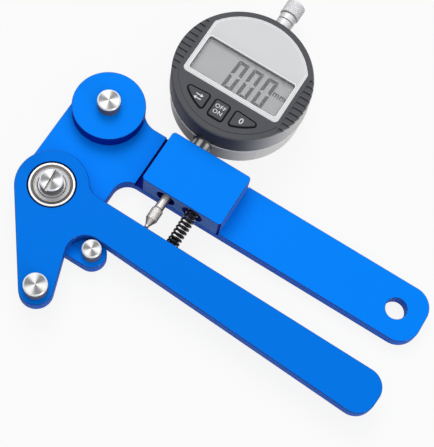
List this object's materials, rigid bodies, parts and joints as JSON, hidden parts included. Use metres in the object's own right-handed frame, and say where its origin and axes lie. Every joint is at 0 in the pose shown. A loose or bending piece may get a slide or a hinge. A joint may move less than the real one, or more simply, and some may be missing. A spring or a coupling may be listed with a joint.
{
  "type": "spoke tension meter",
  "caption": "Hand tool with two pivoting arm plates, posts that bend a wire spoke and a round digital plunger gauge with a return spring.",
  "frame": {"origin": "on the pivot axis, where the middle post stands on the inner ring at the front arm's outer face", "axes": "+Z is the plates' outward normal and the pivot axis, +X runs along the handles towards their free ends, +Y points to the gauge"},
  "size_m": [0.1731, 0.1762, 0.0249],
  "materials": {
    "blue_anodised": "satin blue anodised",
    "blue_anodised_dark": "satin blue anodised",
    "turned_steel": "turned, bright",
    "bearing_steel": "ground",
    "cage_brass": "pressed",
    "shield_steel": "pressed",
    "black_steel": "blackened",
    "spring_steel": "black",
    "dark_casing": "dark gloss",
    "bezel_plastic": "satin dark grey",
    "silver_frame": "satin silver",
    "clear_window": "clear",
    "display_grey": "grey display",
    "button_grey": "satin",
    "pad_rubber": "matt",
    "board_green": "satin",
    "cell_steel": "bright",
    "cap_steel": "knurled"
  },
  "bodies": {
    "frame": {"back_arm": "blue_anodised", "post_disc": "blue_anodised", "gauge_block": "blue_anodised", "top_post": "turned_steel", "middle_post": "turned_steel", "stop_pin": "turned_steel", "bearing_inner_ring": "bearing_steel", "pivot_spacer": "shield_steel", "back_post_screws": "black_steel", "block_screws": "black_steel", "stem_set_screw": "black_steel", "return_spring": "spring_steel", "gauge_case": "dark_casing", "gauge_bezel": "bezel_plastic", "display_frame": "silver_frame", "display_window": "clear_window", "display_panel": "display_grey", "button_pads": "pad_rubber", "circuit_board": "board_green", "battery_cell": "cell_steel", "battery_cover": "dark_casing", "back_cover": "dark_casing", "cover_screws": "bearing_steel", "gauge_stem": "turned_steel", "neck_bush": "turned_steel"},
    "lever": {"front_arm": "blue_anodised_dark", "leg_post": "turned_steel", "leg_post_screw": "black_steel", "bearing_outer_ring": "bearing_steel", "bearing_balls": "bearing_steel", "bearing_cage": "cage_brass", "bearing_shields": "shield_steel", "spring_pin": "turned_steel"},
    "plunger": {"plunger_rod": "turned_steel", "contact_point": "turned_steel", "lifting_cap": "cap_steel"},
    "unit_key": {"unit_button": "button_grey"},
    "power_key": {"power_button": "button_grey"},
    "zero_key": {"zero_button": "button_grey"}
  },
  "joints": [
    {"name": "arm_pivot", "type": "hinge", "parent": "frame", "child": "lever", "pos_m": [0, 0, 0], "axis": [0, 0, 1], "range_deg": [0, 12], "stiffness_Nm_per_rad": 0.6, "springref_deg": -20.05, "deforming": ["return_spring"]},
    {"name": "plunger_slide", "type": "slide", "parent": "frame", "child": "plunger", "axis": [0, 1, 0], "range_m": [0, 0.0095]},
    {"name": "unit_press", "type": "slide", "parent": "frame", "child": "unit_key", "axis": [0, 0, -1], "range_m": [0, 0.0004], "stiffness_N_per_m": 600},
    {"name": "power_press", "type": "slide", "parent": "frame", "child": "power_key", "axis": [0, 0, -1], "range_m": [0, 0.0004], "stiffness_N_per_m": 600},
    {"name": "zero_press", "type": "slide", "parent": "frame", "child": "zero_key", "axis": [0, 0, -1], "range_m": [0, 0.0004], "stiffness_N_per_m": 600}
  ],
  "couplings": [
    {"joint": "plunger_slide", "follows": "arm_pivot", "m_per_rad": 0.043}
  ]
}
